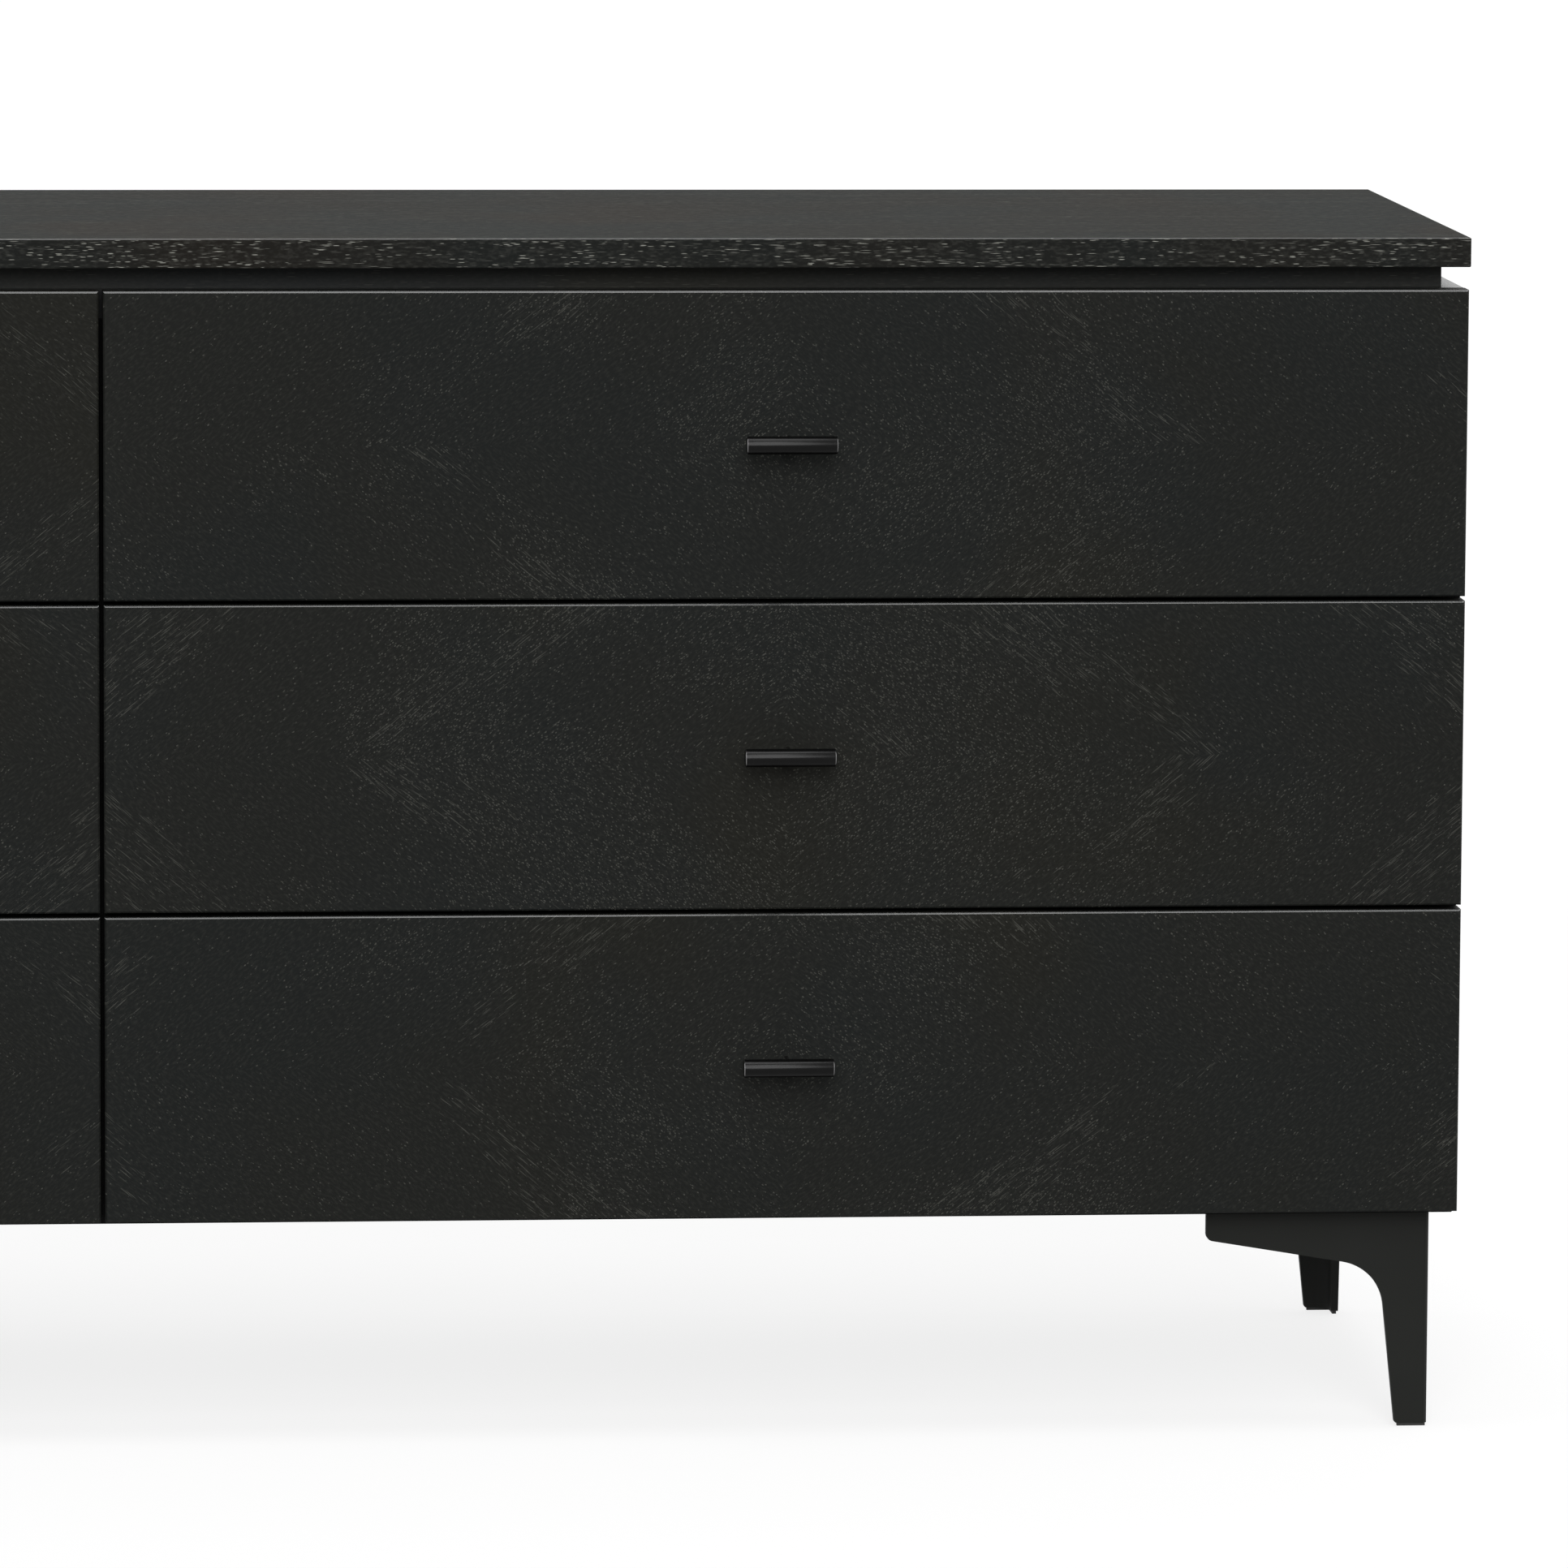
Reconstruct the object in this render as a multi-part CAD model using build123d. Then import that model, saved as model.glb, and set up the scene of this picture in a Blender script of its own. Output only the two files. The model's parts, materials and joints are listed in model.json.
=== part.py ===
from build123d import *
import os
from math import radians, tan

# Overall sizes in millimetres: X across the front, -Y out of the front, Z up from the floor
WIDTH = 1800.0
TOP_DEPTH = 480.0
TOP_THICK = 19.5
NECK_HEIGHT = 15.0
CASE_HEIGHT = 618.0
LEG_HEIGHT = 145.0
PULL_REACH = 30.0

# Boards of the case
BOARD = 19.0
SIDE_REVEAL = 1.0
TONGUE = 8.0
TONGUE_THICK = 9.0
BACK_THICK = 6.0
BACK_RECESS = 3.0
BACK_LAP = 8.5
BACK_PLAY = 0.5
RAIL_THICK = 18.0
RAIL_DEPTH = 60.0
NECK_RAIL_WIDTH = 60.0
NECK_INSET = 14.0
NECK_SETBACK = 10.0
EASE = 1.0

# Drawer fronts and the gaps round them
ROWS = ("bottom", "middle", "top")
FRONT_THICK = 20.0
FRONT_EASE = 1.1
FRONT_GAP = 3.0
CENTRE_GAP = 3.0
FRONT_LIFT = 4.0
BUMPER_GAP = 1.5

# Drawer boxes
BOX_BOARD = 13.0
BOX_HEIGHT = 140.0
BOX_DEPTH = 420.0
BOX_LIFT = 27.0
BOX_EDGE_CHAMFER = 1.5
BOX_BOTTOM_THICK = 6.0
BOX_BOTTOM_LIFT = 10.0
BOX_GROOVE = 6.0
TAILS = 3
TAIL_NECK = 26.0
TAIL_ANGLE = 10.0

# Telescopic slides, rolled from sheet steel
SLIDE_SPACE = 13.0
SLIDE_LENGTH = 400.0
SLIDE_SETBACK = 3.5
STEEL = 1.2
TRACK_WIDTH, TRACK_HEIGHT, TRACK_LIP = 11.0, 45.0, 4.0
CARRIER_WIDTH, CARRIER_HEIGHT, CARRIER_LIP = 9.4, 34.0, 4.0
CARRIER_STANDOFF = 1.9
RUNNER_WIDTH, RUNNER_HEIGHT, RUNNER_LIP = 8.4, 24.5, 3.0

# T-bar pulls
PULL_LENGTH = 60.0
PULL_DIAMETER = 12.0
PULL_RISE = 2.0
POST_DIAMETER = 9.0

# Corner legs: two equal wings round one upright corner
ARM_LENGTH = 150.0
ARM_END_HEIGHT = 18.0
ARM_SLOPE = 9.5
ARM_END_ROUND = 5.0
GUSSET_RADIUS = 33.5
LEG_TAPER = 6.0
FOOT_WIDTH = 22.0
FOOT_ROUND = 2.0
LEG_WALL = 5.0
LEG_CORNER = 3.5
LEG_INNER_ROUND = 12.0
LEG_SIDE_INSET = 15.0
LEG_FRONT_INSET = 2.0
LEG_BACK_INSET = 4.0
FLANGE_THICK = 3.5
FLANGE_REACH = 144.0
FLANGE_NOSE = 24.0
FLANGE_WAIST = 55.0
FLANGE_SCREWS = ((124.0, 15.0), (15.0, 124.0), (38.0, 38.0))
PAD_THICK = 2.0
PAD_INSET = 1.1

# Screws: a six-sided head on a plain six-sided shank
SCREW_SIDES = 6
LEG_SCREW = {"head": 9.5, "head_thick": 2.5, "diameter": 5.0, "length": 16.0}
TOP_SCREW = {"head": 8.5, "head_thick": 2.5, "diameter": 4.5, "length": 45.0}
PULL_SCREW = {"head": 8.0, "head_thick": 2.4, "diameter": 4.0, "length": 43.0}
TOP_SCREWS_PER_RAIL = 4

# Levels and planes that follow from the sizes above
CASE_TOP_Z = LEG_HEIGHT + CASE_HEIGHT
NECK_TOP_Z = CASE_TOP_Z + NECK_HEIGHT
HEIGHT = NECK_TOP_Z + TOP_THICK
BACK_Y = (TOP_DEPTH + PULL_REACH) / 2
FACE_Y = BACK_Y - TOP_DEPTH
FRONT_BACK_Y = FACE_Y + FRONT_THICK
CASE_FRONT_Y = FRONT_BACK_Y + BUMPER_GAP
BACK_PANEL_Y = BACK_Y - BACK_RECESS - BACK_THICK
CASE_X = WIDTH / 2 - SIDE_REVEAL
BAY_IN_X = BOARD / 2
BAY_OUT_X = CASE_X - BOARD
BAY_LOW_Z = LEG_HEIGHT + BOARD
BAY_HIGH_Z = CASE_TOP_Z - BOARD
FRONT_HEIGHT = (CASE_HEIGHT - FRONT_LIFT - (len(ROWS) - 1) * FRONT_GAP) / len(ROWS)
FRONT_PITCH = FRONT_HEIGHT + FRONT_GAP
BOX_END_Y = FRONT_BACK_Y + BOX_DEPTH
SLIDE_BACK_Y = CASE_FRONT_Y + SLIDE_SETBACK + SLIDE_LENGTH
PULL_AXIS_Y = FACE_Y - PULL_REACH + PULL_DIAMETER / 2


def block(x0, x1, y0, y1, z0, z1):
    """Board between two opposite corners."""
    centre = Pos((x0 + x1) / 2, (y0 + y1) / 2, (z0 + z1) / 2)
    return centre * Box(x1 - x0, y1 - y0, z1 - z0)


def front_bottom_z(row):
    """Lower edge of the drawer front in a row, counted from the floor up."""
    return LEG_HEIGHT + FRONT_LIFT + row * FRONT_PITCH


def screw(head, head_thick, diameter, length):
    """Screw that points up, with its head hanging below the origin."""
    shank = extrude(RegularPolygon(diameter / 2, SCREW_SIDES), length)
    return shank + extrude(RegularPolygon(head / 2, SCREW_SIDES), -head_thick)


# Top and neck


def top_panel():
    """Veneered top with the edges of its upper and lower faces eased."""
    panel = block(-WIDTH / 2, WIDTH / 2, FACE_Y, BACK_Y, NECK_TOP_Z, HEIGHT)
    faces = panel.faces().sort_by(Axis.Z)
    return fillet(faces[0].edges() + faces[-1].edges(), EASE)


def neck_frame():
    """Four flat rails, mitred at the corners, that hold the top off the case."""
    x1 = CASE_X - NECK_INSET
    y0 = CASE_FRONT_Y + NECK_SETBACK
    y1 = BACK_Y - NECK_INSET
    w = NECK_RAIL_WIDTH
    outer = [(-x1, y0), (x1, y0), (x1, y1), (-x1, y1)]
    inner = [(-x1 + w, y0 + w), (x1 - w, y0 + w), (x1 - w, y1 - w), (-x1 + w, y1 - w)]
    rails = []
    for i in range(4):
        j = (i + 1) % 4
        plan = make_face(Polyline(outer[i], outer[j], inner[j], inner[i], close=True))
        rails.append(Pos(0, 0, CASE_TOP_Z) * extrude(plan, NECK_HEIGHT))
    return rails


def top_screws():
    """Screws up through the case top and the neck into the top."""
    x_end = CASE_X - NECK_INSET - NECK_RAIL_WIDTH / 2
    y_front = CASE_FRONT_Y + NECK_SETBACK + NECK_RAIL_WIDTH / 2
    y_back = BACK_Y - NECK_INSET - NECK_RAIL_WIDTH / 2
    fixing = screw(**TOP_SCREW)
    spread = [2 * i / (TOP_SCREWS_PER_RAIL - 1) - 1 for i in range(TOP_SCREWS_PER_RAIL)]
    return [Pos(x_end * s, y, BAY_HIGH_Z) * fixing for y in (y_front, y_back) for s in spread]


# Case


def tongue_board(z0, z1):
    """Level board between the sides, with a tongue along each end."""
    body = block(-BAY_OUT_X, BAY_OUT_X, CASE_FRONT_Y, BACK_Y, z0, z1)
    mid = (z0 + z1) / 2
    reach = BAY_OUT_X + TONGUE
    return body + block(-reach, reach, CASE_FRONT_Y + TONGUE, BACK_PANEL_Y - TONGUE,
                        mid - TONGUE_THICK / 2, mid + TONGUE_THICK / 2)


def partition_board():
    """Upright board between the columns, with a tongue along its top and bottom."""
    body = block(-BAY_IN_X, BAY_IN_X, CASE_FRONT_Y, BACK_PANEL_Y, BAY_LOW_Z, BAY_HIGH_Z)
    return body + block(-TONGUE_THICK / 2, TONGUE_THICK / 2,
                        CASE_FRONT_Y + TONGUE, BACK_PANEL_Y - TONGUE,
                        BAY_LOW_Z - TONGUE, BAY_HIGH_Z + TONGUE)


def divider_rails():
    """Front rails between the drawers, tongued into the partition and the sides."""
    rails = []
    for row in range(1, len(ROWS)):
        mid = front_bottom_z(row) - FRONT_GAP / 2
        for x0, x1 in ((-BAY_OUT_X, -BAY_IN_X), (BAY_IN_X, BAY_OUT_X)):
            body = block(x0, x1, CASE_FRONT_Y, CASE_FRONT_Y + RAIL_DEPTH,
                         mid - RAIL_THICK / 2, mid + RAIL_THICK / 2)
            tongue = block(x0 - TONGUE, x1 + TONGUE, CASE_FRONT_Y + TONGUE,
                           CASE_FRONT_Y + RAIL_DEPTH - TONGUE,
                           mid - TONGUE_THICK / 2, mid + TONGUE_THICK / 2)
            rails.append(body + tongue)
    return rails


def back_rebate():
    """Space that the back panel takes out of the boards round it."""
    reach = BAY_OUT_X + BACK_LAP
    return block(-reach, reach, BACK_PANEL_Y, BACK_Y, BAY_LOW_Z - BACK_LAP, BAY_HIGH_Z + BACK_LAP)


def back_panel():
    """Thin back in two halves that meet behind the partition."""
    reach = BAY_OUT_X + BACK_LAP - BACK_PLAY
    halves = []
    for x0, x1 in ((-reach, -BACK_PLAY), (BACK_PLAY, reach)):
        halves.append(block(x0, x1, BACK_PANEL_Y, BACK_PANEL_Y + BACK_THICK,
                            BAY_LOW_Z - BACK_LAP + BACK_PLAY, BAY_HIGH_Z + BACK_LAP - BACK_PLAY))
    return halves


def case_side(sign):
    """Side of the case with its long outer edges eased."""
    x0, x1 = sorted((sign * BAY_OUT_X, sign * CASE_X))
    side = block(x0, x1, CASE_FRONT_Y, BACK_Y, LEG_HEIGHT, CASE_TOP_Z)
    outer = side.faces().sort_by(Axis.X)[-1 if sign > 0 else 0]
    return fillet(outer.edges(), EASE)


# Legs


def corner_plan(length, inset):
    """Plan of two equal walls that meet at a corner on the origin, drawn in by the inset."""
    near, far, wall = inset, length - inset, LEG_WALL - inset
    return make_face(Polyline((near, near), (far, near), (far, wall), (wall, wall),
                              (wall, far), (near, far), close=True))


def leg_walls():
    """The two upright walls of a leg, rounded where they meet, before their outline is cut."""
    plan = corner_plan(ARM_LENGTH, 0)
    for corner, radius in ((0, LEG_CORNER), (LEG_WALL, LEG_INNER_ROUND)):
        plan = fillet(plan.vertices().sort_by_distance((corner, corner, 0))[0], radius)
    return extrude(plan, LEG_HEIGHT)


def wing_outline():
    """Side view of one wing: sloping arm, round gusset and tapered leg."""
    slope = tan(radians(ARM_SLOPE))
    taper = tan(radians(LEG_TAPER))
    arm_low = LEG_HEIGHT - ARM_END_HEIGHT
    lean = arm_low - PAD_THICK - (ARM_LENGTH - FOOT_WIDTH) * slope
    knee_rise = lean / (1 - taper * slope)
    knee = (FOOT_WIDTH + knee_rise * taper, PAD_THICK + knee_rise)
    foot_in = (FOOT_WIDTH, PAD_THICK)
    arm_end = (ARM_LENGTH, arm_low)
    outline = make_face(Polyline((0, PAD_THICK), foot_in, knee, arm_end,
                                 (ARM_LENGTH, LEG_HEIGHT), (0, LEG_HEIGHT), close=True))
    for corner, radius in ((knee, GUSSET_RADIUS), (arm_end, ARM_END_ROUND), (foot_in, FOOT_ROUND)):
        outline = fillet(outline.vertices().sort_by_distance((*corner, 0))[0], radius)
    return outline


def leg_flange():
    """Plate inside the top of the leg, with a hollow front edge."""
    a, b, c = LEG_WALL, FLANGE_REACH, FLANGE_NOSE
    edges = [Polyline((c, b), (a, b), (a, a), (b, a), (b, c)),
             ThreePointArc((b, c), (FLANGE_WAIST, FLANGE_WAIST), (c, b))]
    plan = make_face(edges)
    return Pos(0, 0, LEG_HEIGHT - FLANGE_THICK) * extrude(plan, FLANGE_THICK)


def corner_leg():
    """Leg with its outer corner on the origin and its wings along +X and +Y."""
    outline = wing_outline()
    walls = leg_walls()
    walls &= extrude(Plane.XZ * outline, 2 * ARM_LENGTH, both=True)
    walls &= extrude(Plane.YZ * outline, 2 * ARM_LENGTH, both=True)
    return walls + leg_flange()


def foot_pad():
    """Thin pad under the foot, just inside its outline."""
    return extrude(corner_plan(FOOT_WIDTH - FOOT_ROUND + PAD_INSET, PAD_INSET), PAD_THICK)


def leg_screw_set():
    """Screws up through the flange of one leg into the case bottom."""
    fixing = screw(**LEG_SCREW)
    return [Pos(x, y, LEG_HEIGHT - FLANGE_THICK) * fixing for x, y in FLANGE_SCREWS]


def leg_places():
    """Name and place of each leg, turned so that its wings follow the case's edges."""
    x = CASE_X - LEG_SIDE_INSET
    front = CASE_FRONT_Y + LEG_FRONT_INSET
    back = BACK_Y - LEG_BACK_INSET
    return {"front_left_leg": Pos(-x, front) * Rot(0, 0, 0),
            "front_right_leg": Pos(x, front) * Rot(0, 0, 90),
            "rear_right_leg": Pos(x, back) * Rot(0, 0, 180),
            "rear_left_leg": Pos(-x, back) * Rot(0, 0, 270)}


# Slides


def slide_level(row):
    """Middle height of the slides in a row."""
    return front_bottom_z(row) + BOX_LIFT + BOX_HEIGHT / 2


def channel(width, height, lip):
    """Section of a rolled slide member: web on the left, open between two lips on the right."""
    outside = Rectangle(width, height)
    inside = Rectangle(width - 2 * STEEL, height - 2 * STEEL)
    mouth = Pos(width / 2, 0) * Rectangle(width, height - 2 * lip)
    return outside - inside - mouth


def slide_pair(section, standoff, bay, z_mid, flip):
    """Two mirrored slide members, one on each wall of a bay."""
    members = []
    for wall_x, inward in ((bay[0], 1), (bay[1], -1)):
        turn = 180 if (inward < 0) != flip else 0
        placed = Pos(wall_x + inward * standoff, z_mid) * Rot(0, 0, turn) * section
        members.append(Pos(0, SLIDE_BACK_Y, 0) * extrude(Plane.XZ * placed, SLIDE_LENGTH))
    return members


# Drawers


def box_side(x0, x1, z0):
    """Box side with dovetails cut on both of its ends."""
    y0, y1 = FRONT_BACK_Y, BOX_END_Y
    side = block(x0, x1, y0 + BOX_BOARD, y1 - BOX_BOARD, z0, z0 + BOX_HEIGHT)
    top_edges = side.edges().filter_by(Axis.Y).group_by(Axis.Z)[-1]
    side = chamfer(top_edges, BOX_EDGE_CHAMFER)
    spread = BOX_BOARD * tan(radians(TAIL_ANGLE))
    tip, root = TAIL_NECK / 2 + spread, TAIL_NECK / 2
    pitch = BOX_HEIGHT / TAILS
    for i in range(TAILS):
        z = z0 + (i + 0.5) * pitch
        for end, shoulder in ((y0, y0 + BOX_BOARD), (y1, y1 - BOX_BOARD)):
            tail = make_face(Polyline((end, z - tip), (shoulder, z - root),
                                      (shoulder, z + root), (end, z + tip), close=True))
            side += Pos(x0, 0, 0) * extrude(Plane.YZ * tail, (x1 - x0), dir=(1, 0, 0))
    return side


def drawer_box(bay, z0):
    """Sides, ends and bottom of one drawer box between the runners of its bay."""
    x0, x1 = bay[0] + SLIDE_SPACE, bay[1] - SLIDE_SPACE
    low = z0 + BOX_BOTTOM_LIFT
    rim = BOX_BOARD - BOX_GROOVE
    bottom = block(x0 + rim, x1 - rim, FRONT_BACK_Y + rim, BOX_END_Y - rim,
                   low, low + BOX_BOTTOM_THICK)
    sides = [box_side(x0, x0 + BOX_BOARD, z0), box_side(x1 - BOX_BOARD, x1, z0)]
    ends = []
    for y in (FRONT_BACK_Y, BOX_END_Y - BOX_BOARD):
        end = block(x0, x1, y, y + BOX_BOARD, z0, z0 + BOX_HEIGHT)
        ends.append(end - sides[0] - sides[1] - bottom)
    return [side - bottom for side in sides], ends, bottom


def pull(x, z):
    """T-bar, post and fixing screw of one pull."""
    bar = Pos(x, PULL_AXIS_Y, z) * Rot(0, 90, 0) * Cylinder(PULL_DIAMETER / 2, PULL_LENGTH)
    stand = FACE_Y - PULL_AXIS_Y
    post = Pos(x, FACE_Y - stand / 2, z) * Rot(90, 0, 0) * Cylinder(POST_DIAMETER / 2, stand)
    fixing = Pos(x, FRONT_BACK_Y + BOX_BOARD, z) * Rot(90, 0, 0) * screw(**PULL_SCREW)
    return [bar, post - bar - fixing, fixing]


def drawer_front(x0, x1, z0):
    """Veneered front with the edges of its face eased."""
    front = block(x0, x1, FACE_Y, FRONT_BACK_Y, z0, z0 + FRONT_HEIGHT)
    return chamfer(front.faces().sort_by(Axis.Y)[0].edges(), FRONT_EASE)


def drawer_nodes(name, sign, row):
    """All the moving pieces of one drawer, by node name."""
    bay = sorted((sign * BAY_IN_X, sign * BAY_OUT_X))
    x0, x1 = sorted((sign * CENTRE_GAP / 2, sign * CASE_X))
    z0 = front_bottom_z(row)
    sides, ends, bottom = drawer_box(bay, z0 + BOX_LIFT)
    pull_pieces = pull((x0 + x1) / 2, z0 + FRONT_HEIGHT / 2 + PULL_RISE)
    ends[0] = ends[0] - pull_pieces[-1]
    z_mid = slide_level(row)
    carrier = channel(CARRIER_WIDTH, CARRIER_HEIGHT, CARRIER_LIP)
    runner = channel(RUNNER_WIDTH, RUNNER_HEIGHT, RUNNER_LIP)
    return {f"{name}_front": [drawer_front(x0, x1, z0) - pull_pieces[-1]],
            f"{name}_box_sides": sides,
            f"{name}_box_ends": ends,
            f"{name}_box_bottom": [bottom],
            f"{name}_pull": pull_pieces,
            f"{name}_runners": slide_pair(runner, SLIDE_SPACE - RUNNER_WIDTH / 2, bay, z_mid, True),
            f"{name}_carriers": slide_pair(carrier, CARRIER_STANDOFF + CARRIER_WIDTH / 2, bay,
                                           z_mid, False)}


# Assembly


def case_nodes():
    """All the fixed pieces, with each board cut to take what is let into it."""
    rails = divider_rails()
    partition = partition_board()
    rebate = back_rebate()
    bottom = tongue_board(LEG_HEIGHT, BAY_LOW_Z)
    top = tongue_board(BAY_HIGH_Z, CASE_TOP_Z)
    sides = {}
    for name, sign in (("left_side", -1), ("right_side", 1)):
        sides[name] = [case_side(sign) - bottom - top - rebate - rails]
    screws_up = top_screws()
    necks = [rail - screws_up for rail in neck_frame()]
    leg, pad, screw_set = corner_leg(), foot_pad(), leg_screw_set()
    leg = leg - screw_set
    places = leg_places()
    leg_screws = [place * fixing for place in places.values() for fixing in screw_set]
    track = channel(TRACK_WIDTH, TRACK_HEIGHT, TRACK_LIP)
    tracks = []
    for sign in (-1, 1):
        bay = sorted((sign * BAY_IN_X, sign * BAY_OUT_X))
        for row in range(len(ROWS)):
            tracks += slide_pair(track, TRACK_WIDTH / 2, bay, slide_level(row), False)
    nodes = {"top_panel": [top_panel() - screws_up],
             "neck_frame": necks,
             "case_top": [top - partition - rebate - screws_up],
             "case_bottom": [bottom - partition - rebate - leg_screws],
             "centre_partition": [partition - rails],
             "divider_rails": rails,
             "back_panel": back_panel(),
             "foot_pads": [place * pad for place in places.values()],
             "leg_screws": leg_screws,
             "top_screws": screws_up,
             "slide_tracks": tracks}
    nodes.update(sides)
    nodes.update({name: [place * leg] for name, place in places.items()})
    return nodes


def main():
    """Build every node and write one STEP file for each."""
    nodes = case_nodes()
    for column, sign in (("left", -1), ("right", 1)):
        for row, row_name in enumerate(ROWS):
            nodes.update(drawer_nodes(f"{column}_{row_name}", sign, row))
    os.makedirs("parts", exist_ok=True)
    for name, pieces in nodes.items():
        solids = [solid for piece in pieces for solid in piece.solids()]
        export_step(Compound(solids), f"parts/{name}.step")


main()
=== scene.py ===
"""Looks of the six-drawer dresser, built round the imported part.

Sizes are metres in the part's own frame: X across the front, -Y out of the front, Z up.
"""

import json
import logging
import math
from abc import ABC, abstractmethod
from dataclasses import dataclass
from enum import Enum
from typing import Iterable, Sequence, Union

import bmesh
import bpy
from mathutils import Matrix, Vector

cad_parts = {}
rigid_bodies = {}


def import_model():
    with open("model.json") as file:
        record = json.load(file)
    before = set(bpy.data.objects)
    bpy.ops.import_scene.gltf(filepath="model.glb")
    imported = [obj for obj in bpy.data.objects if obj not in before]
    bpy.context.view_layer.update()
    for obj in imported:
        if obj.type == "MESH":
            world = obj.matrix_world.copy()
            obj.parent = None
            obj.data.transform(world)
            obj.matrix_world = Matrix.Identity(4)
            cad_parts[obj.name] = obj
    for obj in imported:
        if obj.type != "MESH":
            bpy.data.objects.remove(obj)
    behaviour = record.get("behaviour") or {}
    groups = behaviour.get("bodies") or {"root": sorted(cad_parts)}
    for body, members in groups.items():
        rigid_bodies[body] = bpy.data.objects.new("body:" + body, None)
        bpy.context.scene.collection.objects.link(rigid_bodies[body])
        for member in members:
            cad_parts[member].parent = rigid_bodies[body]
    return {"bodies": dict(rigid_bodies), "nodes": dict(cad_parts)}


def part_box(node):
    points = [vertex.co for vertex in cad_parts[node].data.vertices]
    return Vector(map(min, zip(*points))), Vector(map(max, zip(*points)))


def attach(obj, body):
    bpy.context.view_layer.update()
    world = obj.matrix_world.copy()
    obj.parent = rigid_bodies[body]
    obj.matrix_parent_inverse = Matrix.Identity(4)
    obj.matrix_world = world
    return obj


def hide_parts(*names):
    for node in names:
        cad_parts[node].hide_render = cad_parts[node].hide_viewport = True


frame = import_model()

LOG = logging.getLogger("dresser")
Socket = bpy.types.NodeSocket
Value = Union[float, Sequence[float], Socket]
Tone = tuple[int, int, int]
Triple = tuple[float, float, float]
Span = tuple[float, float]

WHITE = (1.0, 1.0, 1.0, 1.0)
Y_AXIS = 1
FLAT_NORMAL = 0.99
EASED_NORMAL = 0.9
RELIEF_STRENGTH = 0.6
SHARP_ANGLE = math.radians(38)
LEVEL_SLACK = 1e-6
ROW_SEED = 3.7
COLUMN_SEED = 11.3


class Mix(Enum):
    """What a mix node blends: its data type, its first input and its output."""

    COLOUR = ("RGBA", 6, 2)
    VECTOR = ("VECTOR", 4, 1)


class Grain(Enum):
    """Which axis the wood's fibres follow, then the two axes across them."""

    ALONG_X = (0, 1, 2)
    ALONG_Y = (1, 2, 0)
    ALONG_Z = (2, 1, 0)


class Way(Enum):
    """Which way a small part faces, as a unit direction."""

    BACK = (0.0, 1.0, 0.0)
    LEFT = (-1.0, 0.0, 0.0)
    RIGHT = (1.0, 0.0, 0.0)


class Row(Enum):
    """Rows of drawers, each with its share of open pores in the veneer."""

    BOTTOM = 0.42
    MIDDLE = 0.72
    TOP = 0.54


def linear(tone: Tone) -> tuple[float, float, float, float]:
    """Turn a display tone of three bytes into a linear colour.

    Args:
        tone: Red, green and blue from 0 to 255.

    Returns:
        Linear red, green, blue and a full alpha.
    """
    shares = [byte / 255 for byte in tone]
    parts = [part / 12.92 if part <= 0.04045 else ((part + 0.055) / 1.055) ** 2.4 for part in shares]
    return (*parts, 1.0)


def aim(direction: Vector, place: Vector) -> Matrix:
    """Turn +Z to a direction and move it to a place.

    Args:
        direction: Where +Z points afterwards.
        place: Where the origin goes.

    Returns:
        The move as a matrix.
    """
    return Matrix.Translation(place) @ direction.to_track_quat("Z", "Y").to_matrix().to_4x4()


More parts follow.
